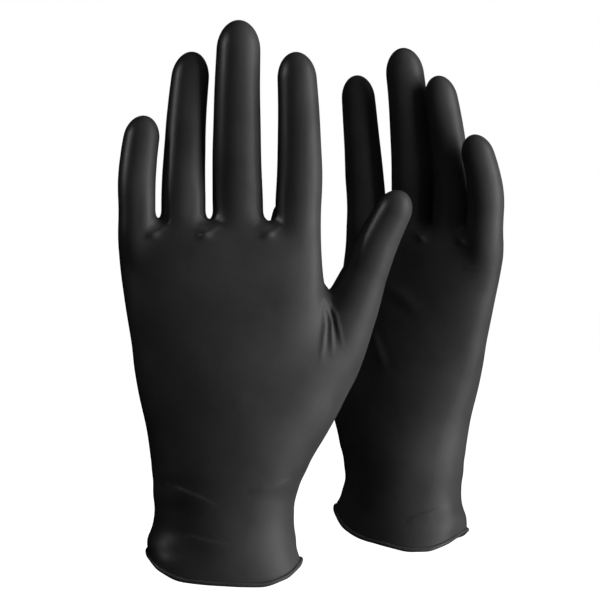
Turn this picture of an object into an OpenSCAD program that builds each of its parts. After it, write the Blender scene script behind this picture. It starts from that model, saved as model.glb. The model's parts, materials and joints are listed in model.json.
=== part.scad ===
// Pair of dipped gloves, filled out as on a pair of hands, palms to the front
// (-Y), fingers up (+Z).  The right-hand glove stands at the origin and its
// cuff opening is centred there.  The left-hand glove is its mirror image, set
// behind it, turned to the left and with its fingers a little more bent.
//
// Each glove is a film shell: palm and cuff, a bead rolled into the hem, five
// finger stalls with closed tips, and the band of film at the root of every
// stall that folds when the finger bends.  Millimetres.

/* [Film] */
// Thickness of the dipped film
film_t = 0.2; // [0.15:0.05:0.4]
// Diameter of the bead rolled into the cuff edge
bead_d = 2.0; // [1.4:0.1:2.6]

/* [Cuff and palm] */
// Width of the cuff at the hem, thumb side to little-finger side
cuff_w = 66; // [64:0.5:68]
// Depth of the cuff at the hem, palm to back
cuff_d = 50; // [48:0.5:54]
// Width of the palm across the roots of the four fingers
palm_w = 88; // [87:0.5:90]
// How far the right hem dips at front and back, and rises at the sides
right_hem_wave = 4.5; // [0:0.5:6]
// How far the left hem dips at front and back, and rises at the sides
left_hem_wave = 6; // [0:0.5:7]

/* [Fingers] */
// Height of the finger hinges above the cuff opening
hinge_z = 158.5; // [158:0.5:160]
// Half the length of the film band that folds at a finger root
band_h = 8; // [7:0.5:8]
// Front-to-back thickness of a finger as a share of its width
finger_flat = 0.88; // [0.8:0.02:0.94]

/* [Left glove] */
// Turn of the left glove about the vertical
left_turn = -36; // [-42:1:-28]
// Where the left glove stands, to the right of the right one
left_x = 81; // [78:1:100]
// Where the left glove stands, behind the right one
left_y = 124; // [118:1:150]
// Height of the left cuff opening over the right one
left_z = -1; // [-4:0.5:4]
// Lean of the left glove, top to the right
left_lean = 3.7; // [2:0.1:6]

/* [Hidden] */

film_colour = [0.07, 0.07, 0.075];
bead_colour = [0.09, 0.09, 0.095];
PN = 32;      // points round the palm
FN = 16;      // points round a finger
GAP = 0.02;   // clear space between rings of film that meet

RIGHT = 0; LEFT = 1;
INDEX = 0; MIDDLE = 1; RING = 2; LITTLE = 3;

// Fingers: [hinge x, hinge y, sideways angle at the hinge, at the tip, length
// from hinge to tip, half width at the hinge, halfway, below the tip, tip dome]
FINGER = [[ 32.4,  0.0,  1.5, -5.0, 62.4, 10.2,  9.3, 8.5, 12.0],
          [  5.8,  1.5, -1.0,  2.5, 76.2, 10.9, 10.2, 9.5, 13.5],
          [-17.4,  0.5,  0.0,  7.5, 63.2,  9.6,  8.8, 8.2, 12.0],
          [-37.5, -3.0,  0.5, 13.0, 35.6,  8.4,  8.1, 7.8, 10.5]];
// Bend of each finger towards the palm, at the hinge and at the tip
BEND = [[[4, -2], [6, -4], [-4, -5], [-6, -8]],
        [[7, 11], [7, 15], [6, 15], [10, 20]]];
// Extra sideways swing of each finger, towards the thumb
SWING = [[0, 0, 0, 0], [3, 1.5, 1.5, -5]];
// Extra sideways curve of each finger by its tip, towards the thumb
CURL = [[0, 0, 0, 0], [5, 0, 2, 13]];

// Thumb: centre line from inside the palm to below the tip, with half widths
THUMB = [[[12, 2, 46, 16.5], [28, 6, 66, 17.2], [43.5, 8, 88, 15.6], [53.5, 8, 108, 12.4],
          [61, 7, 126, 9.8], [66, 5, 139, 9.2], [72.5, 3, 152, 8]],
         [[12, 2, 46, 16.5], [28, 6, 66, 17.2], [45, 3, 88, 15.6], [60, -4, 108, 11.6],
          [69, -10, 126, 9.6], [70.5, -13, 138, 9], [67.5, -16, 149, 8]]];
THUMB_TIP = [[77.2, 1, 161], [64, -20, 157]];
THUMB_HINGE = 4;     // the row of THUMB that the thumb turns about

// Palm sections: [height, centre x, half width, centre y, half depth, squareness]
k_cuff = cuff_w / 66; d_cuff = cuff_d / 50; k_palm = palm_w / 88;
PALM = [[  0,  0.0, 33.0 * k_cuff, 0.0, 25.0 * d_cuff, 2.4],
        [  5, -0.8, 32.2 * k_cuff, 0.0, 24.2 * d_cuff, 2.3],
        [ 12, -0.3, 31.0 * k_cuff, 0.0, 23.2 * d_cuff, 2.15],
        [ 20,  0.0, 30.0, 0.0, 22.4, 2.1],
        [ 30,  0.3, 30.8, 0.0, 22.2, 2.1],
        [ 42,  2.0, 33.2, 0.0, 22.2, 2.1],
        [ 56,  3.4, 36.4, 0.4, 21.4, 2.2],
        [ 74,  3.2, 40.0, 0.6, 20.0, 2.3],
        [ 94,  2.0, 42.0 * k_palm, 0.8, 18.6, 2.4],
        [114,  0.0, 43.2 * k_palm, 0.8, 17.0, 2.45],
        [132, -1.3, 44.0 * k_palm, 0.6, 15.2, 2.5],
        [141, -1.6, 44.2 * k_palm, 0.4, 13.2, 2.5],
        [146, -1.6, 43.2 * k_palm, 0.2, 10.0, 2.5],
        [148.5, -1.6, 41.0 * k_palm, 0.0, 6.0, 2.4]];
// Hem of each glove: wave, rise on the thumb side, height of its mean line,
// and how far both are turned towards the little-finger side
HEM = [[right_hem_wave, -2.2, -1, 0], [left_hem_wave, 2.8, 0.4, 18]];

function unit(v) = v / norm(v);
function spow(c, e) = sign(c) * pow(abs(c), e);
function lerp(a, b, t) = a + (b - a) * t;
function smooth(t) = t <= 0 ? 0 : t >= 1 ? 1 : t * t * (3 - 2 * t);
function sum(v, i = 0) = i >= len(v) ? [0, 0, 0] : v[i] + sum(v, i + 1);

// ---- swept tubes --------------------------------------------------------

// A ring: [centre, sideways axis, front-to-back axis, half width, half depth]
function ring(r, n) = [for (j = [0 : n - 1]) let (a = 360 * j / n)
    r[0] + r[1] * r[3] * cos(a) + r[2] * r[4] * sin(a)];
function thin(rings, t) = [for (r = rings) [r[0], r[1], r[2], r[3] - t, r[4] - t]];
function shrink(r, k) = [r[0], r[1], r[2], r[3] * k, r[4] * k];
function lift(r, d) = [r[0] + d, r[1], r[2], r[3], r[4]];

function turned(f, flip) = flip ? [f[0], f[2], f[1]] : f;
function side_faces(m, n, base, flip) = [for (k = [0 : m - 2], j = [0 : n - 1])
    let (a = base + k * n + j, b = base + k * n + (j + 1) % n, c = b + n, d = a + n)
    for (f = [[a, d, b], [b, d, c]]) turned(f, flip)];
function fan(i0, n, tip, flip) = [for (j = [0 : n - 1]) turned([i0 + j, tip, i0 + (j + 1) % n], flip)];
function rim(lo, hi, n, flip) = [for (j = [0 : n - 1]) let (k = (j + 1) % n)
    for (f = [[lo + j, lo + k, hi + j], [lo + k, hi + k, hi + j]]) turned(f, flip)];

// A closed plug of the rings, flat at both ends
module plug(rings, n) {
    m = len(rings);
    polyhedron(concat([for (r = rings) each ring(r, n)], [rings[0][0], rings[m - 1][0]]),
        concat(side_faces(m, n, 0, false), fan(0, n, m * n, true), fan((m - 1) * n, n, m * n + 1, false)), convexity = 6);
}

// An open length of film: outer and inner wall, with a flat rim at each end
module sleeve(outer, n) {
    m = len(outer); o = m * n; e = o - n;
    polyhedron(concat([for (r = outer) each ring(r, n)], [for (r = thin(outer, film_t)) each ring(r, n)]),
        concat(side_faces(m, n, 0, false), side_faces(m, n, o, true), rim(0, o, n, false), rim(e, o + e, n, true)), convexity = 6);
}

// A stall with a closed tip: outer and inner wall, and a rim at the root
module stall(outer, tip, way, n) {
    m = len(outer); o = m * n; e = o - n;
    polyhedron(concat([for (r = outer) each ring(r, n)], [for (r = thin(outer, film_t)) each ring(r, n)], [tip, tip - way * film_t]),
        concat(side_faces(m, n, 0, false), side_faces(m, n, o, true), rim(0, o, n, false),
            fan(e, n, 2 * o, false), fan(o + e, n, 2 * o + 1, true)), convexity = 6);
}

// ---- fingers ------------------------------------------------------------

// Share of a finger's own bend and swing reached at s beyond its hinge
function reached(s) = smooth((s + band_h) / (2 * band_h));
function side_angle(i, s, g) = lerp(FINGER[i][2], FINGER[i][3] + CURL[g][i], max(0, s) / FINGER[i][4]) + SWING[g][i] * reached(s);
function bend_angle(i, s, g) = BEND[g][i][0] * reached(s) + (BEND[g][i][1] - BEND[g][i][0]) * max(0, s) / FINGER[i][4];
function heading(i, s, g) = let (a = side_angle(i, s, g), b = bend_angle(i, s, g)) [sin(a) * cos(b), -sin(b), cos(a) * cos(b)];
function half_w(i, s) = let (f = FINGER[i], d = f[4] - f[8], q = s / d)
    s <= 0 ? f[5] - 0.025 * s : q < 0.5 ? lerp(f[5], f[6], q * 2) : q <= 1 ? lerp(f[6], f[7], q * 2 - 1) :
    f[7] * sqrt(max(0, 1 - pow((s - d) / f[8], 2)));

// Centre of a finger at s beyond its hinge, stepping along the heading
function centre(i, s, g, n = 14) = [FINGER[i][0], FINGER[i][1], hinge_z]
    + sum([for (k = [0 : n - 1]) heading(i, s / n * (k + 0.5), g) * s / n]);
function finger_ring(i, s, g) = let (a = side_angle(i, s, g), e1 = [cos(a), 0, -sin(a)], w = half_w(i, s))
    [centre(i, s, g), e1, cross(heading(i, s, g), e1), w, w * finger_flat];

module finger_stall(i, g) {
    f = FINGER[i]; d = f[4] - f[8];
    stops = concat([for (q = [0 : 4]) lerp(band_h, d, q / 4)], [for (a = [28, 52, 72, 83]) d + f[8] * sin(a)]);
    stall([for (s = stops) finger_ring(i, s, g)], centre(i, f[4], g), heading(i, f[4], g), FN);
}

module finger_band(i, g)
    sleeve([for (q = [-1, -0.5, 0, 0.5, 1]) finger_ring(i, q * (band_h - GAP), g)], FN);

// ---- thumb --------------------------------------------------------------

function thumb_p(k, g) = let (r = THUMB[g][k]) [r[0], r[1], r[2]];
// Smooth curve through the rows of THUMB and on to the tip
function thumb_spine(u, g) = let (n = len(THUMB[g]) - 1, k = min(floor(u), n - 1), t = u - k,
    a = thumb_p(max(k - 1, 0), g), b = thumb_p(k, g), c = thumb_p(k + 1, g), d = k + 2 > n ? THUMB_TIP[g] : thumb_p(k + 2, g))
    0.5 * (2 * b + (c - a) * t + (2 * a - 5 * b + 4 * c - d) * t * t + (3 * b - a - 3 * c + d) * t * t * t);
function thumb_w(u, g) = let (k = min(floor(u), len(THUMB[g]) - 2)) lerp(THUMB[g][k][3], THUMB[g][k + 1][3], u - k);
function thumb_way(u, g) = unit(thumb_spine(u + 0.02, g) - thumb_spine(max(0, u - 0.02), g));
function thumb_ring(u, g) = let (h = thumb_way(u, g), v = [0.35, 1, 0], e2 = unit(v - h * (h * v)), w = thumb_w(u, g))
    [thumb_spine(u, g), cross(e2, h), e2, w, w * 0.92];
// Share of a row's length that is one half band
function thumb_du(g) = 2 * band_h / norm(thumb_p(THUMB_HINGE + 1, g) - thumb_p(THUMB_HINGE - 1, g));
thumb_end = len(THUMB[0]) - 1.001;

module thumb_stall(g) {
    lo = THUMB_HINGE + thumb_du(g); r = thumb_ring(thumb_end, g); d = THUMB_TIP[g] - r[0];
    stall(concat([for (q = [0 : 4]) thumb_ring(lerp(lo, thumb_end, q / 4), g)],
        [for (a = [28, 52, 72, 83]) [r[0] + d * sin(a), r[1], r[2], r[3] * cos(a), r[4] * cos(a)]]), THUMB_TIP[g], unit(d), FN);
}

module thumb_band(g)
    sleeve([for (q = [-1, -0.5, 0, 0.5, 1]) thumb_ring(THUMB_HINGE + q * thumb_du(g) * (1 - GAP / band_h), g)], FN);

// ---- palm and cuff ------------------------------------------------------

// Height of the hem round the cuff; the wave dies out up the wrist
function hem(a, z, g) = let (b = a + HEM[g][3])
    (HEM[g][0] * cos(2 * b) + HEM[g][1] * cos(b) + HEM[g][2]) * smooth(1 - z / 30);
function palm_ring(p, t, drop, g) = [for (j = [0 : PN - 1]) let (a = 360 * j / PN, e = 2 / p[5])
    [p[1] + (p[2] - t) * spow(cos(a), e), p[3] + (p[4] - t) * spow(sin(a), e), p[0] - drop + hem(a, p[0], g)]];

module palm_solid(t, g) {
    n = len(PALM); top = PALM[n - 1];
    rings = concat(t > 0 ? [palm_ring(PALM[0], t, 3, g)] : [],
        [for (k = [0 : n - 1]) palm_ring(PALM[k], t, k < n - 3 ? 0 : t * (k - n + 4) / 3, g)]);
    m = len(rings);
    polyhedron(concat([for (r = rings) each r], [[PALM[0][1], PALM[0][3], HEM[g][2] - (t > 0 ? 3 : 0)], [top[1], top[3], top[0] - t]]),
        concat(side_faces(m, PN, 0, false), fan(0, PN, m * PN, true), fan((m - 1) * PN, PN, m * PN + 1, false)), convexity = 6);
}

// Film that rises from the palm to the foot of each band
module collars(t, g) {
    for (i = [0 : 3]) {
        r = [for (q = [[-20, 0.6], [-14, 0.86], [-10.5, 0.97], [-band_h, 1]]) shrink(finger_ring(i, min(q[0], -band_h), g), q[1])];
        plug(thin(concat(r, t > 0 ? [lift(r[3], [0, 0, 1])] : []), t), FN);
    }
    hi = THUMB_HINGE - thumb_du(g);
    q = [for (k = [0 : 7]) thumb_ring(lerp(0.05, hi, k / 7), g)];
    plug(thin(concat(q, t > 0 ? [lift(q[7], thumb_way(hi, g))] : []), t), FN);
}

module palm_and_cuff(g) {
    difference() {
        union() { palm_solid(0, g); collars(0, g); }
        palm_solid(film_t, g);
        collars(film_t, g);
    }
}

module cuff_bead(g) {
    m = 48; n = 10; c = PALM[0]; e = 2 / c[5]; r = bead_d / 2;
    function at(a) = [c[1] + (c[2] - film_t / 2) * spow(cos(a), e), c[3] + (c[4] - film_t / 2) * spow(sin(a), e), hem(a, 0, g)];
    pts = [for (k = [0 : m - 1]) let (a = 360 * k / m, w = at(a + 1) - at(a - 1), o = unit([w[1], -w[0], 0]))
        for (j = [0 : n - 1]) let (b = 360 * j / n) at(a) + o * r * cos(b) + [0, 0, r * sin(b)]];
    polyhedron(pts, [for (k = [0 : m - 1], j = [0 : n - 1]) let (k2 = (k + 1) % m, j2 = (j + 1) % n)
        for (f = [[k * n + j, k * n + j2, k2 * n + j], [k * n + j2, k2 * n + j2, k2 * n + j]]) f], convexity = 6);
}

// ---- placing ------------------------------------------------------------

module left() translate([left_x, left_y, left_z]) rotate([0, left_lean, 0]) rotate([0, 0, left_turn]) mirror([1, 0, 0]) children();

module right_palm_and_cuff() color(film_colour) palm_and_cuff(RIGHT);
module right_cuff_bead() color(bead_colour) cuff_bead(RIGHT);
module right_thumb_stall() color(film_colour) thumb_stall(RIGHT);
module right_index_stall() color(film_colour) finger_stall(INDEX, RIGHT);
module right_middle_stall() color(film_colour) finger_stall(MIDDLE, RIGHT);
module right_ring_stall() color(film_colour) finger_stall(RING, RIGHT);
module right_little_stall() color(film_colour) finger_stall(LITTLE, RIGHT);
module right_thumb_band() color(film_colour) thumb_band(RIGHT);
module right_index_band() color(film_colour) finger_band(INDEX, RIGHT);
module right_middle_band() color(film_colour) finger_band(MIDDLE, RIGHT);
module right_ring_band() color(film_colour) finger_band(RING, RIGHT);
module right_little_band() color(film_colour) finger_band(LITTLE, RIGHT);
module left_palm_and_cuff() color(film_colour) left() palm_and_cuff(LEFT);
module left_cuff_bead() color(bead_colour) left() cuff_bead(LEFT);
module left_thumb_stall() color(film_colour) left() thumb_stall(LEFT);
module left_index_stall() color(film_colour) left() finger_stall(INDEX, LEFT);
module left_middle_stall() color(film_colour) left() finger_stall(MIDDLE, LEFT);
module left_ring_stall() color(film_colour) left() finger_stall(RING, LEFT);
module left_little_stall() color(film_colour) left() finger_stall(LITTLE, LEFT);
module left_thumb_band() color(film_colour) left() thumb_band(LEFT);
module left_index_band() color(film_colour) left() finger_band(INDEX, LEFT);
module left_middle_band() color(film_colour) left() finger_band(MIDDLE, LEFT);
module left_ring_band() color(film_colour) left() finger_band(RING, LEFT);
module left_little_band() color(film_colour) left() finger_band(LITTLE, LEFT);

right_palm_and_cuff();
right_cuff_bead();
right_thumb_stall();
right_index_stall();
right_middle_stall();
right_ring_stall();
right_little_stall();
right_thumb_band();
right_index_band();
right_middle_band();
right_ring_band();
right_little_band();
left_palm_and_cuff();
left_cuff_bead();
left_thumb_stall();
left_index_stall();
left_middle_stall();
left_ring_stall();
left_little_stall();
left_thumb_band();
left_index_band();
left_middle_band();
left_ring_band();
left_little_band();
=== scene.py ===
import json
from math import sin, cos, radians, sqrt, pi
import bpy
import numpy as np
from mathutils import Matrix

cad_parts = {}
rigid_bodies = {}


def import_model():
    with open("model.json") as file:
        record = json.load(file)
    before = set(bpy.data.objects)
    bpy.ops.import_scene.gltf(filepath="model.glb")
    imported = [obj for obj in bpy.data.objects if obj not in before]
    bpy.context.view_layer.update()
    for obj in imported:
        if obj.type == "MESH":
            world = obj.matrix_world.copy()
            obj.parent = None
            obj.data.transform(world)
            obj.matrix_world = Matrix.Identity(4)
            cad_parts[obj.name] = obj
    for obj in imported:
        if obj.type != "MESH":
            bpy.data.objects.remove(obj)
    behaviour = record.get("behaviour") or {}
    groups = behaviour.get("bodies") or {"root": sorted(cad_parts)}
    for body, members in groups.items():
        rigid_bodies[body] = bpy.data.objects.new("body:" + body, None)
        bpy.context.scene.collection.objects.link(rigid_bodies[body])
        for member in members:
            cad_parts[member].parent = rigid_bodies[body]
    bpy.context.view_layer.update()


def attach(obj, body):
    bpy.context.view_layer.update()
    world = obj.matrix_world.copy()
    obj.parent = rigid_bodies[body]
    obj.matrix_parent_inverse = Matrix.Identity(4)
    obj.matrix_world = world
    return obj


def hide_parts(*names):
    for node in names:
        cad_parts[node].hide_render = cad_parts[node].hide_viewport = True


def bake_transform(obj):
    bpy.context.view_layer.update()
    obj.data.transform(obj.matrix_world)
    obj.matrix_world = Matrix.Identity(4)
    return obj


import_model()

import openvdb as vdb

VOX = 0.9          # mesh size of the film, mm
FILM = 0.3                           # film thickness shown, mm

# ---------------------------------------------------------------- the gloves
# The same stations as the CAD model, in millimetres, in the right glove's
# frame: fingers +Z, palm -Y, thumb +X.  The left glove is mirrored and placed.
BAND, HINGE_Z, FLAT = 8.0, 158.5, 0.88
NAMES = ["index", "middle", "ring", "little"]
FINGER = [[32.4, 0.0, 1.5, -5.0, 62.4, 10.2, 9.3, 8.5, 12.0],
          [5.8, 1.5, -1.0, 2.5, 76.2, 10.9, 10.2, 9.5, 13.5],
          [-17.4, 0.5, 0.0, 7.5, 63.2, 9.6, 8.8, 8.2, 12.0],
          [-37.5, -3.0, 0.5, 13.0, 35.6, 8.4, 8.1, 7.8, 10.5]]
BEND = [[[4, -2], [6, -4], [-4, -5], [-6, -8]], [[7, 11], [7, 15], [6, 15], [10, 20]]]
SWING = [[0, 0, 0, 0], [3, 1.5, 1.5, -5]]
CURL = [[0, 0, 0, 0], [5, 0, 2, 13]]
THUMB = [np.array([[12, 2, 46, 16.5], [28, 6, 66, 17.2], [43.5, 8, 88, 15.6], [53.5, 8, 108, 12.4],
                   [61, 7, 126, 9.8], [66, 5, 139, 9.2], [72.5, 3, 152, 8.0]]),
         np.array([[12, 2, 46, 16.5], [28, 6, 66, 17.2], [45, 3, 88, 15.6], [60, -4, 108, 11.6],
                   [69, -10, 126, 9.6], [70.5, -13, 138, 9.0], [67.5, -16, 149, 8.0]])]
THUMB_TIP = [np.array([77.2, 1, 161]), np.array([64.0, -20, 157])]
PALM = np.array([[0, 0.0, 33.0, 0.0, 25.0, 2.4], [5, -0.8, 32.2, 0.0, 24.2, 2.3], [12, -0.3, 31.0, 0.0, 23.2, 2.15],
                 [20, 0.0, 30.0, 0.0, 22.4, 2.1], [30, 0.3, 30.8, 0.0, 22.2, 2.1], [42, 2.0, 33.2, 0.0, 22.2, 2.1],
                 [56, 3.4, 36.4, 0.4, 21.6, 2.05], [74, 3.2, 40.0, 0.6, 20.0, 2.05], [94, 2.0, 42.0, 0.8, 18.0, 2.1],
                 [114, 0.0, 43.4, 0.6, 15.2, 2.2], [132, -1.3, 44.4, 0.4, 12.2, 2.25], [141, -1.6, 44.4, 0.2, 10.2, 2.3],
                 [145.5, -1.6, 43.4, 0.0, 8.2, 2.3], [148, -1.6, 40.0, 0.0, 4.6, 2.3]])
HEM = [[4.5, -2.2, -1.0, 0.0], [5.6, 2.8, 0.6, 20.0]]
TURN, LEAN, AWAY = radians(-36), radians(3.7), np.array([81.0, 124.0, -1.0])
R_LEFT = (np.array([[cos(LEAN), 0, sin(LEAN)], [0, 1, 0], [-sin(LEAN), 0, cos(LEAN)]])
          @ np.array([[cos(TURN), -sin(TURN), 0], [sin(TURN), cos(TURN), 0], [0, 0, 1]]) @ np.diag([-1.0, 1, 1]))


def place(p, g):
    """Glove frame, mm, to the row frame, m."""
    p = np.asarray(p, float)
    return (p if g == 0 else p @ R_LEFT.T + AWAY) / 1000.0


def lerp(a, b, t):
    return a + (b - a) * t


def smooth(t):
    t = np.clip(t, 0.0, 1.0)
    return t * t * (3 - 2 * t)


def unit(v):
    return v / np.linalg.norm(v, axis=-1, keepdims=True)


def curve(z, col):
    """Cubic through one column of the palm stations."""
    zs, v = PALM[:, 0], PALM[:, col]
    m = np.gradient(v, zs)
    k = np.clip(np.searchsorted(zs, z) - 1, 0, len(zs) - 2)
    d = zs[k + 1] - zs[k]
    t = np.clip((z - zs[k]) / d, 0, 1)
    return ((2 * t**3 - 3 * t**2 + 1) * v[k] + (t**3 - 2 * t**2 + t) * d * m[k]
            + (3 * t**2 - 2 * t**3) * v[k + 1] + (t**3 - t**2) * d * m[k + 1])


# ------------------------------------------------------------- solid shapes
def loft(rings):
    m, n = len(rings), len(rings[0])
    pts = np.vstack(rings + [rings[0].mean(0, keepdims=True), rings[-1].mean(0, keepdims=True)])
    j = np.arange(n)
    tri = []
    for k in range(m - 1):
        a, b = k * n + j, k * n + (j + 1) % n
        tri += [np.stack([a, b, b + n], 1), np.stack([a, b + n, a + n], 1)]
    e = (m - 1) * n
    tri += [np.stack([np.full(n, m * n), (j + 1) % n, j], 1), np.stack([np.full(n, m * n + 1), e + j, e + (j + 1) % n], 1)]
    return pts.astype(np.float32), np.vstack(tri).astype(np.uint32)


def side_angle(i, s, g):
    return lerp(FINGER[i][2], FINGER[i][3] + CURL[g][i], max(0, s) / FINGER[i][4]) + SWING[g][i] * smooth((s + BAND) / (2 * BAND))


def bend_angle(i, s, g):
    b = BEND[g][i]
    return b[0] * smooth((s + BAND) / (2 * BAND)) + (b[1] - b[0]) * max(0, s) / FINGER[i][4]


def heading(i, s, g):
    a, b = radians(side_angle(i, s, g)), radians(bend_angle(i, s, g))
    return np.array([sin(a) * cos(b), -sin(b), cos(a) * cos(b)])


def centre(i, s, g):
    c = np.array([FINGER[i][0], FINGER[i][1], HINGE_Z])
    for k in range(14):
        c = c + heading(i, s / 14 * (k + 0.5), g) * s / 14
    return c


def half_width(i, s):
    f = FINGER[i]
    d = f[4] - f[8]
    if s <= 0:
        return f[5] - 0.025 * s
    body = np.interp(min(s, d), [0, d / 2, d], f[5:8])
    return body * sqrt(max(0.0, 1 - max(0.0, (s - d) / f[8]) ** 2))


def finger_shape(i, g, n=44):
    f = FINGER[i]
    d = f[4] - f[8]
    stops = list(np.linspace(-36, d, 46)) + [d + f[8] * sin(radians(a)) for a in (8, 16, 24, 33, 42, 51, 60, 68, 75, 81, 86)]
    t = np.arange(n) * 2 * pi / n
    rings = []
    for s in stops:
        a = radians(side_angle(i, s, g))
        e1 = np.array([cos(a), 0, -sin(a)])
        e2 = np.cross(heading(i, s, g), e1)
        w = half_width(i, s) if s > 0 else half_width(i, 0) * lerp(0.5, 1.0, smooth((s + 36) / 22))
        rings.append(centre(i, s, g) + np.outer(np.cos(t), e1) * w + np.outer(np.sin(t), e2) * w * FLAT)
    return loft(rings)


def thumb_spine(u, g):
    n = len(THUMB[g]) - 1
    k = min(int(u), n - 1)
    t = u - k
    p = THUMB[g][:, :3]
    a, b, c, d = p[max(k - 1, 0)], p[k], p[k + 1], (THUMB_TIP[g] if k + 2 > n else p[k + 2])
    return 0.5 * (2 * b + (c - a) * t + (2 * a - 5 * b + 4 * c - d) * t * t + (3 * b - a - 3 * c + d) * t**3)


def thumb_way(u, g):
    return unit(thumb_spine(u + 0.02, g) - thumb_spine(max(0, u - 0.02), g))


def thumb_shape(g, n=44):
    end = len(THUMB[g]) - 1.001
    us = np.arange(len(THUMB[g]))
    t = np.arange(n) * 2 * pi / n
    rings = []
    for u in np.linspace(0.05, end, 60):
        h = thumb_way(u, g)
        v = np.array([0.35, 1, 0])
        e2 = unit(v - h * (h @ v))
        e1 = np.cross(e2, h)
        w = np.interp(u, us, THUMB[g][:, 3])
        rings.append(thumb_spine(u, g) + np.outer(np.cos(t), e1) * w + np.outer(np.sin(t), e2) * w * 0.92)
    c = thumb_spine(end, g)
    for a in (8, 16, 24, 33, 42, 51, 60, 68, 75, 81, 86):
        a = radians(a)
        rings.append(c + (THUMB_TIP[g] - c) * sin(a) + (np.outer(np.cos(t), e1) + np.outer(np.sin(t), e2) * 0.92) * w * cos(a))
    return loft(rings)


def hem_height(a, z, g):
    b = a + radians(HEM[g][3])
    return (HEM[g][0] * np.cos(2 * b) + 0.9 * np.cos(4 * b) + HEM[g][1] * np.cos(b) + HEM[g][2]) * smooth(1 - z / 30.0)


def palm_ring(z, a, g, at=None):
    e = 2.0 / curve(z, 5)
    c, s = np.cos(a), np.sin(a)
    x = curve(z, 1) + curve(z, 2) * np.sign(c) * np.abs(c) ** e
    y = curve(z, 3) + curve(z, 4) * np.sign(s) * np.abs(s) ** e
    return np.stack([x, y, np.broadcast_to((z if at is None else at) + hem_height(a, z, g), x.shape)], 1)


def palm_shape(g, n=120):
    a = np.arange(n) * 2 * pi / n
    rings = [palm_ring(0.0, a, g, -12.0), palm_ring(0.0, a, g, -4.0)]
    rings += [palm_ring(z, a, g) for z in np.concatenate([np.arange(0.0, 140, 2.0), np.linspace(140, 148, 10)])]
    return loft(rings)


# ------------------------------------------------------------ distance field
def field(pts, tri, lo, dims, band=17.0):
    """Signed distance to a closed shape on the dense grid at lo, mm."""
    half = int(band / VOX)
    grid = vdb.FloatGrid.createLevelSetFromPolygons(
        (pts - lo).astype(np.float32), triangles=tri, transform=vdb.createLinearTransform(VOX), halfWidth=half)
    out = np.full(dims, band, np.float32)
    grid.copyToArray(out)
    return out


def blend_min(a, b, k):
    h = np.clip(k - np.abs(a - b), 0, None) / k
    return np.minimum(a, b) - h * h * k * 0.25


def fillet_min(a, b, k):
    """blend_min that fills corners, and leaves walls that run side by side."""
    ga, gb = np.gradient(a), np.gradient(b)
    dot = sum(x * y for x, y in zip(ga, gb)) / VOX**2
    return blend_min(a, b, np.clip(k * (1 - dot), 0.3, k).astype(np.float32))


def soften(f, mm):
    """Blur a field along each axis in turn."""
    r = max(1, int(round(2.5 * mm / VOX)))
    w = np.exp(-0.5 * (np.arange(-r, r + 1) * VOX / mm) ** 2)
    w /= w.sum()
    for ax in range(3):
        pad = [(0, 0)] * 3
        pad[ax] = (r, r)
        g = np.pad(f, pad, mode="edge")
        n = f.shape[ax]
        f = sum(w[j] * np.take(g, range(j, j + n), axis=ax) for j in range(2 * r + 1)).astype(np.float32)
    return f


def sample(f, p):
    """Trilinear value of grid f at grid points p."""
    q = np.clip(p, 0, np.array(f.shape) - 1.001)
    i = q.astype(int)
    t = q - i
    out = 0.0
    for dx in (0, 1):
        for dy in (0, 1):
            for dz in (0, 1):
                w = (t[:, 0] if dx else 1 - t[:, 0]) * (t[:, 1] if dy else 1 - t[:, 1]) * (t[:, 2] if dz else 1 - t[:, 2])
                out = out + w * f[i[:, 0] + dx, i[:, 1] + dy, i[:, 2] + dz]
    return out


def slope(f, p, e=0.75):
    g = [sample(f, p + e * np.eye(3)[k]) - sample(f, p - e * np.eye(3)[k]) for k in range(3)]
    return unit(np.stack(g, 1) + 1e-9)


# ---------------------------------------------------------- creases and folds
def ridge(p, path, width, height, back=False, front=0.0, upper=None, head=0.02):
    """A soft ridge along a path of (x, z) on the palm side, or the back.
    upper: a different width on its upper side.  head: how full it starts."""
    path = np.asarray(path, float)
    q = p[:, [0, 2]]
    best = np.full(len(p), 1e9)
    along, wide = np.zeros(len(p)), np.full(len(p), width)
    seg = np.linalg.norm(np.diff(path, axis=0), axis=1)
    total, run = seg.sum(), 0.0
    for k in range(len(seg)):
        d = path[k + 1] - path[k]
        t = np.clip(((q - path[k]) @ d) / (d @ d), 0, 1)
        dist = np.linalg.norm(q - path[k] - t[:, None] * d, axis=1)
        hit = dist < best
        best = np.where(hit, dist, best)
        lift = ((q[:, 1] - path[k, 1]) * abs(d[0]) - (q[:, 0] - path[k, 0]) * d[1] * np.sign(d[0] or 1)) > 0
        wide = np.where(hit, np.where(lift, upper or width, width), wide)
        along = np.where(hit, (run + t * seg[k]) / total, along)
        run += seg[k]
    fade = np.sin(pi * np.clip(head + along * (1 - head), 0.02, 0.98)) ** 0.7
    return height * np.exp(-(best / wide) ** 2) * fade * smooth((p[:, 1] if back else front - p[:, 1]) / 6.0)


def bump(p, c, r, height):
    d = np.linalg.norm((p - np.asarray(c, float)) / np.asarray(r, float), axis=1)
    return height * np.exp(-d * d)


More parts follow.
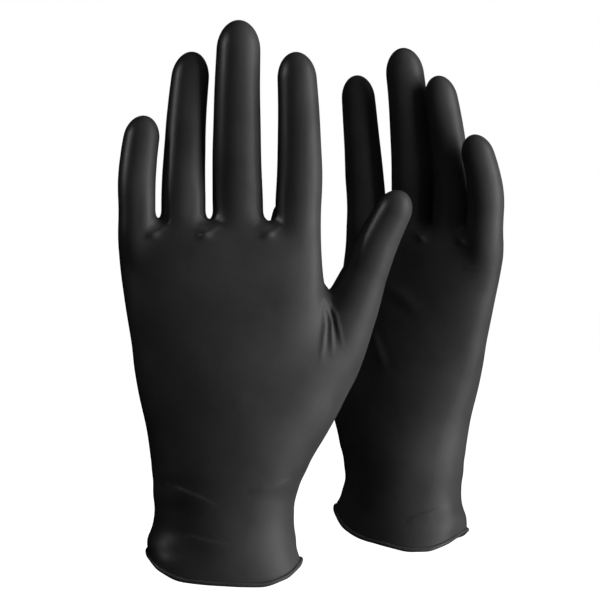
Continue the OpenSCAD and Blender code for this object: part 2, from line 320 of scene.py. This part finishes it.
def folds(p, g):
    """How far the film stands out from the smooth hand shape, mm."""
    x, y, z = p[:, 0], p[:, 1], p[:, 2]
    out = 0.10 * np.sin(x * 0.19 + 1.3 * np.sin(z * 0.07)) * np.sin(z * 0.13 + 0.9 * np.sin(y * 0.21))
    cuff = smooth((50 - z) / 14.0) * smooth((z - 3) / 6.0)
    ang = np.arctan2(y, x)
    out += cuff * 0.1 * np.sin(0.62 * z + 1.6 * np.sin(ang * 2 + 0.6 + g) + 0.8 * np.sin(ang * 3 + 2.0 * g)) * (0.45 + 0.55 * np.sin(ang * 2.0 + 1.1 + 1.7 * g))
    if g == 0:
        # fan of fine ridges under the thumb crotch
        for path, h in (([(43.6, 114.6), (47.8, 108.5), (50.6, 95)], 0.6), ([(43.4, 113), (45.8, 105.5), (46.3, 92)], 0.68),
                        ([(42.8, 112), (43.2, 103.5), (41.6, 89)], 0.48)):
            out += ridge(p, path, 1.05, h, front=8.0, head=0.18)
        for path, h in (([(44.4, 112), (47, 105), (48.6, 95)], 0.1), ([(43.4, 111), (44.6, 103), (44, 92)], 0.1)):
            out -= ridge(p, path, 0.8, h, front=8.0, head=0.18)
        out += ridge(p, [(-20.6, 35.7), (-10.8, 31.8), (-2.6, 28)], 4.5, 0.42, upper=0.9)
        out += ridge(p, [(11.2, 34.4), (20.6, 35.7), (29.7, 38.7)], 4.0, 0.40, upper=0.9)
        out += ridge(p, [(-14.6, 15), (-5, 12.8), (3.5, 11.6)], 3.4, 0.30, upper=0.8)
    else:
        out += ridge(p, [(10, 119), (-2, 114.5), (-13, 108)], 3.2, 0.5)
        out -= ridge(p, [(9, 113), (-3, 108), (-12, 102)], 3.2, 0.15)
        out += ridge(p, [(14, 98), (8, 89), (2, 79)], 2.6, 0.5)
        out -= ridge(p, [(9, 96), (3, 87), (-3, 78)], 2.6, 0.15)
        out += ridge(p, [(-46, 131), (-40, 129.5), (-32, 130)], 0.8, 0.35)
        out += ridge(p, [(-17, 8.5), (-25, 13), (-33, 17.5)], 3.4, 0.5, upper=0.9)
    for cx in (-28.4, -6.2, 20.6):
        out += bump(p * [1, 0, 1], (cx - 1.6, 0, 142.2), (2.5, 1, 1.8), 0.95) * smooth(-p[:, 1] / 5.0)
        out += ridge(p, [(cx - 4.5, 141), (cx + 0.5, 143.6), (cx + 4.2, 146.4)], 1.0, 0.45)
    if g:
        out += bump(p, (-46, -2, 150), (9, 16, 26), 2.2)
    # folds over the knuckles on the back
    for i in range(4):
        out += ridge(p, [(FINGER[i][0] - 9, 139 - abs(i - 1) * 2), (FINGER[i][0], 141.5 - abs(i - 1) * 2), (FINGER[i][0] + 9, 139 - abs(i - 1) * 2)], 2.6, 0.35, True)
    return out


# -------------------------------------------------------------- glove meshes
def glove_surface(g):
    lo, hi = np.array([-52.0, -44, -16]), np.array([92.0, 32, 246])
    dims = tuple(int(v) for v in np.ceil((hi - lo) / VOX))
    palm = field(*palm_shape(g), lo, dims)
    thumb = field(*thumb_shape(g), lo, dims)
    fingers = [field(*finger_shape(i, g), lo, dims, 8.0) for i in range(4)]
    z = (lo[2] + np.arange(dims[2]) * VOX)[None, None, :]
    k = lerp(9.0, 15.0, smooth((z - 44) / 26.0)) * lerp(1.0, 0.17, smooth((z - 84) / 26.0))
    body = blend_min(palm, thumb, k)
    top = fingers[0]
    for f in fingers[1:]:
        top = blend_min(top, f, 0.8)
    whole = fillet_min(body, top, 5.0)
    # the finger roots melt into the palm, but not across the gaps between them
    x = (lo[0] + np.arange(dims[0]) * VOX)[:, None, None]
    gap = np.min([np.abs(x - c) for c in (-28.4, -6.2, 20.6)], axis=0)
    melt = smooth((z - 84) / 12.0) * smooth((172 - z) / 20.0) * lerp(1.0, smooth((gap - 3.5) / 5.0), smooth((z - 142.5) / 5.0)) * smooth((49 - x) / 5.0)
    whole = whole + (soften(whole, 3.2) - whole) * melt.astype(np.float32)
    grid = vdb.FloatGrid()
    grid.background = 17.0
    grid.copyFromArray(np.ascontiguousarray(whole))
    pts, quads = grid.convertToQuads(0.0)
    p = pts.astype(float)
    for _ in range(3):
        p = p - slope(whole, p) * (sample(whole, p) / VOX)[:, None]
    nrm = slope(whole, p)
    q = p * VOX + lo
    # which finger each point belongs to
    near = np.stack([sample(f, p) for f in fingers] + [sample(thumb, p)], 1)
    # push the film out over its folds and tilt the normals to suit
    t1 = unit(np.cross(nrm, np.where(np.abs(nrm[:, :1]) < 0.8, [[1.0, 0, 0]], [[0, 1.0, 0]])))
    t2 = np.cross(nrm, t1)
    d0, e = folds(q, g), 0.25
    g1, g2 = (folds(q + t1 * e, g) - d0) / e, (folds(q + t2 * e, g) - d0) / e
    q = q + nrm * d0[:, None]
    nrm = unit(nrm - t1 * g1[:, None] - t2 * g2[:, None])
    return q, nrm, np.asarray(quads, int), near


def mesh_piece(name, q, nrm, faces, g, keep):
    """A closed film piece of the kept faces: outer wall, inner wall, edges."""
    f = faces[keep]
    used = np.unique(f)
    index = np.full(len(q), -1)
    index[used] = np.arange(len(used))
    f = index[f]
    outer, n = q[used], nrm[used]
    inner = outer - n * FILM
    edges = {}
    for a, b in zip(f.reshape(-1), np.roll(f, -1, axis=1).reshape(-1)):
        edges[(a, b)] = True
    rim = [(b, a, a + len(used), b + len(used)) for (a, b) in edges if (b, a) not in edges]
    allf = np.vstack([f, f[:, ::-1] + len(used)] + ([np.array(rim)] if rim else []))
    co = place(np.vstack([outer, inner]), g)
    nn = np.vstack([n, -n])
    if g:
        nn = nn @ R_LEFT.T
        allf = allf[:, ::-1]
    mesh = bpy.data.meshes.new(name)
    mesh.from_pydata(co.tolist(), [], allf.tolist())
    mesh.validate()
    mesh.polygons.foreach_set("use_smooth", [True] * len(mesh.polygons))
    mesh.normals_split_custom_set_from_vertices([tuple(v) for v in nn])
    obj = bpy.data.objects.new(name, mesh)
    bpy.context.scene.collection.objects.link(obj)
    return obj


def bead(name, g, n=260, m=12):
    a = np.arange(n) * 2 * pi / n
    c = palm_ring(0.0, a, g)
    c[:, 2] += 0.12 * np.sin(a * 7 + 0.4) + 0.08 * np.sin(a * 13)
    t = unit(np.roll(c, -1, 0) - np.roll(c, 1, 0))
    out = unit(np.stack([t[:, 1], -t[:, 0], np.zeros(n)], 1))
    up = np.cross(out, t)
    b = np.arange(m) * 2 * pi / m
    r = 1.0 + 0.06 * np.sin(a * 5 + 1.0) + 0.05 * np.sin(a * 17 + 0.3)
    pts = (c[:, None] + out[:, None] * (np.cos(b)[None, :, None] * r[:, None, None]) + up[:, None] * (np.sin(b)[None, :, None] * r[:, None, None])).reshape(-1, 3)
    f = []
    for k in range(n):
        for j in range(m):
            f.append((k * m + j, k * m + (j + 1) % m, ((k + 1) % n) * m + (j + 1) % m, ((k + 1) % n) * m + j))
    f = np.array(f)
    # faces look outwards
    p = pts[f[0]]
    if np.dot(np.cross(p[1] - p[0], p[2] - p[0]), p.mean(0) - c[0]) < 0:
        f = f[:, ::-1]
    mesh = bpy.data.meshes.new(name)
    mesh.from_pydata(place(pts, g).tolist(), [], (f[:, ::-1] if g else f).tolist())
    mesh.polygons.foreach_set("use_smooth", [True] * len(mesh.polygons))
    obj = bpy.data.objects.new(name, mesh)
    bpy.context.scene.collection.objects.link(obj)
    return obj


# ------------------------------------------------------------------ finishes
def film_material(name, base, rough):
    mat = bpy.data.materials.new(name)
    mat.use_nodes = True
    nt = mat.node_tree
    nt.nodes.clear()
    new = nt.nodes.new
    out, sh = new("ShaderNodeOutputMaterial"), new("ShaderNodeBsdfPrincipled")
    nt.links.new(sh.outputs["BSDF"], out.inputs["Surface"])
    sh.inputs["Specular IOR Level"].default_value = 0.5
    sh.inputs["IOR"].default_value = 1.5
    co = new("ShaderNodeTexCoord")

    def noise(scale, detail, roughness=0.5):
        n = new("ShaderNodeTexNoise")
        n.inputs["Scale"].default_value = scale
        n.inputs["Detail"].default_value = detail
        n.inputs["Roughness"].default_value = roughness
        nt.links.new(co.outputs["Object"], n.inputs["Vector"])
        return n

    def ramp(src, stops):
        r = new("ShaderNodeValToRGB")
        r.color_ramp.elements[0].position, r.color_ramp.elements[0].color = stops[0][0], (*stops[0][1], 1)
        r.color_ramp.elements[1].position, r.color_ramp.elements[1].color = stops[1][0], (*stops[1][1], 1)
        nt.links.new(src, r.inputs["Fac"])
        return r

    cloud = noise(38.0, 4.0)
    tint = ramp(cloud.outputs["Fac"], [(0.3, tuple(c * 0.8 for c in base)), (0.7, tuple(c * 1.25 for c in base))])
    nt.links.new(tint.outputs["Color"], sh.inputs["Base Color"])
    matt = noise(90.0, 5.0, 0.6)
    rr = new("ShaderNodeMapRange")
    rr.inputs["To Min"].default_value, rr.inputs["To Max"].default_value = rough - 0.05, rough + 0.06
    nt.links.new(matt.outputs["Fac"], rr.inputs["Value"])
    nt.links.new(rr.outputs["Result"], sh.inputs["Roughness"])
    grain, skin = noise(2600.0, 2.0, 0.6), noise(420.0, 3.0)
    mix = new("ShaderNodeMath")
    mix.operation = "MULTIPLY_ADD"
    nt.links.new(skin.outputs["Fac"], mix.inputs[0])
    mix.inputs[1].default_value = 1.6
    nt.links.new(grain.outputs["Fac"], mix.inputs[2])
    bp = new("ShaderNodeBump")
    bp.inputs["Strength"].default_value = 0.12
    bp.inputs["Distance"].default_value = 0.00025
    nt.links.new(mix.outputs["Value"], bp.inputs["Height"])
    nt.links.new(bp.outputs["Normal"], sh.inputs["Normal"])
    return mat


FILM_MAT = film_material("dipped_film", (0.036, 0.036, 0.037), 0.4)
BEAD_MAT = film_material("rolled_edge", (0.038, 0.038, 0.039), 0.4)

for g, side in enumerate(("right", "left")):
    q, nrm, faces, near = glove_surface(g)
    mid = q[faces].mean(1)
    mine = near[faces].mean(1)
    owner = np.full(len(faces), -1)
    hinges = []
    for i in range(4):
        hinges.append((centre(i, 0.0, g), heading(i, 0.0, g)))
    hinges.append((thumb_spine(4.0, g), thumb_way(4.0, g)))
    pick = mine.argmin(1)
    for i, (h, way) in enumerate(hinges):
        owner[(pick == i) & ((mid - h) @ way > -9.8)] = i
    # the cuff ends at the hem
    a = np.arctan2(q[:, 1] / 25.0, q[:, 0] / 33.0)
    edge = hem_height(a, 0.0, g)
    above = q[:, 2] > edge - 0.3
    palm_faces = (owner < 0) & above[faces].all(1)
    loose = np.unique(faces[palm_faces])
    rim = np.zeros(len(q), bool)
    rim[loose] = True
    cut = np.zeros(len(q), bool)
    cut[np.unique(faces[(owner < 0) & ~above[faces].all(1)])] = True
    on_edge = rim & cut & (q[:, 2] < 12)
    q[on_edge, 2] = edge[on_edge]
    palm = mesh_piece(f"{side}_palm_film", q, nrm, faces, g, palm_faces)
    palm.data.materials.append(FILM_MAT)
    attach(palm, f"{side}_hand")
    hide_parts(f"{side}_palm_and_cuff")
    for i, n in enumerate(NAMES + ["thumb"]):
        piece = mesh_piece(f"{side}_{n}_film", q, nrm, faces, g, owner == i)
        piece.data.materials.append(FILM_MAT)
        h, way = hinges[i]
        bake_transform(piece)
        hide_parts(f"{side}_{n}_stall", f"{side}_{n}_band")
    ring = bead(f"{side}_rolled_edge", g)
    ring.data.materials.append(BEAD_MAT)
    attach(ring, f"{side}_hand")
    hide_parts(f"{side}_cuff_bead")

# ------------------------------------------------------------------- the set
scene = bpy.context.scene
scene.view_settings.view_transform = "Standard"
world = bpy.data.worlds.new("studio")
scene.world = world
world.use_nodes = True
wn = world.node_tree
wn.nodes.clear()
wout, mixw = wn.nodes.new("ShaderNodeOutputWorld"), wn.nodes.new("ShaderNodeMixShader")
lp, seen, fill = wn.nodes.new("ShaderNodeLightPath"), wn.nodes.new("ShaderNodeBackground"), wn.nodes.new("ShaderNodeBackground")
seen.inputs["Color"].default_value, seen.inputs["Strength"].default_value = (1, 1, 1, 1), 1.0
fill.inputs["Color"].default_value, fill.inputs["Strength"].default_value = (1, 1, 1, 1), 0.1
wn.links.new(lp.outputs["Is Camera Ray"], mixw.inputs["Fac"])
wn.links.new(fill.outputs["Background"], mixw.inputs[1])
wn.links.new(seen.outputs["Background"], mixw.inputs[2])
wn.links.new(mixw.outputs["Shader"], wout.inputs["Surface"])
world.cycles_visibility.glossy = False

bpy.ops.mesh.primitive_plane_add(size=8.0, location=(0.05, 0.5, -0.12))
floor = bpy.context.object
floor.name = "floor"
fm = bpy.data.materials.new("pale_floor")
fm.use_nodes = True
fs = fm.node_tree.nodes["Principled BSDF"]
fs.inputs["Base Color"].default_value = (0.9, 0.9, 0.9, 1)
fs.inputs["Roughness"].default_value = 0.9
fs.inputs["Emission Color"].default_value = (1, 1, 1, 1)
fs.inputs["Emission Strength"].default_value = 1.0
floor.data.materials.append(fm)
floor.visible_diffuse = False
floor.visible_glossy = False
floor.visible_shadow = False


def area(name, loc, aim, size, power, diffuse=True, glossy=True):
    d = bpy.data.lights.new(name, "AREA")
    d.shape = "RECTANGLE"
    d.size, d.size_y = size
    d.energy = power
    o = bpy.data.objects.new(name, d)
    o.location = loc
    v = np.array(aim, float) - np.array(loc, float)
    from mathutils import Vector
    o.rotation_euler = Vector(v).to_track_quat("-Z", "Y").to_euler()
    o.visible_camera = False
    o.visible_diffuse, o.visible_glossy = diffuse, glossy
    scene.collection.objects.link(o)
    return o


area("key", (0.56, -0.16, 0.14), (0.04, 0.02, 0.12), (0.35, 0.85), 8.2, glossy=False)
area("sheen", (0.95, -0.20, 0.42), (0.04, 0.02, 0.18), (0.45, 0.8), 1.6, diffuse=False)
strip = area("strip", (-0.72, -0.20, 0.50), (0.02, 0.0, 0.2), (0.05, 0.34), 1.3, diffuse=False)
# the strip is set for the front glove only
front = bpy.data.collections.new("front_glove")
for o in scene.objects:
    if o.name.startswith("right_"):
        front.objects.link(o)
strip.light_linking.receiver_collection = front
area("top", (0.15, -0.15, 1.05), (0.05, 0.03, 0.13), (0.9, 0.6), 1.0, glossy=False)

cam = bpy.data.cameras.new("view")
cam.sensor_width = 36.0
cam.lens = 36.0 * 2326.0 / 600.0
co = bpy.data.objects.new("view", cam)
co.location = (0.0327, -1.0, 0.1385)
from mathutils import Vector
co.rotation_euler = (Vector((0.0327, 0.0, 0.1144)) - co.location).to_track_quat("-Z", "Y").to_euler()
scene.collection.objects.link(co)
scene.camera = co
